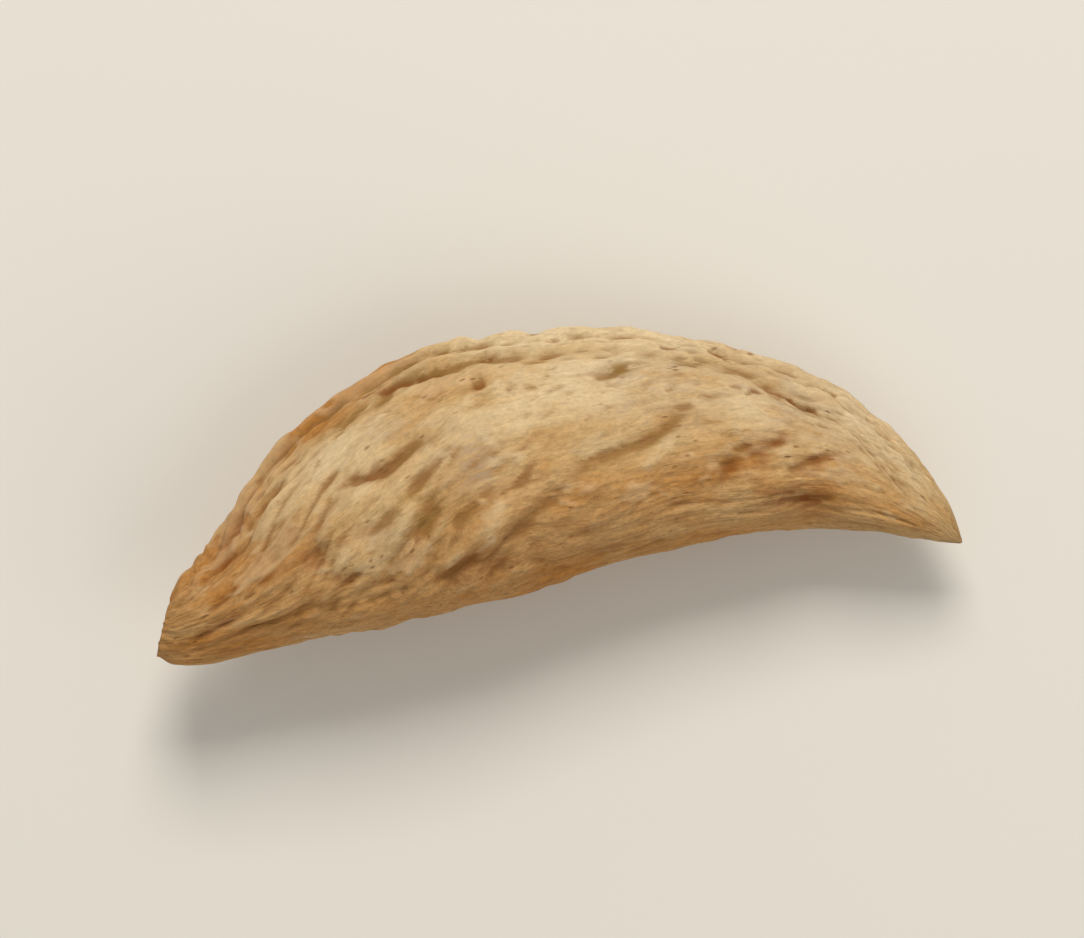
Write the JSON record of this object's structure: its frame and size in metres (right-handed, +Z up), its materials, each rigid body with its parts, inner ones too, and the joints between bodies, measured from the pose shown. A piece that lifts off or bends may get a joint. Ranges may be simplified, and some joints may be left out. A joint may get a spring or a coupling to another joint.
{
  "type": "almond in shell",
  "caption": "Whole almond in its dry shell, crescent shaped with a ridged keel, a blunt point and a stem scar, lying on one cheek.",
  "frame": {"origin": "under the middle of the shell's box, on the surface that it lies on", "axes": "+X along the chord from the stem end to the tip, +Y towards the keel on the outer curve, +Z up out of the upper cheek"},
  "size_m": [0.0396, 0.014, 0.0104],
  "materials": {
    "almond_shell": "dry, matt and fibrous"
  },
  "bodies": {
    "root": {"almond_in_shell": "almond_shell"}
  },
  "joints": []
}
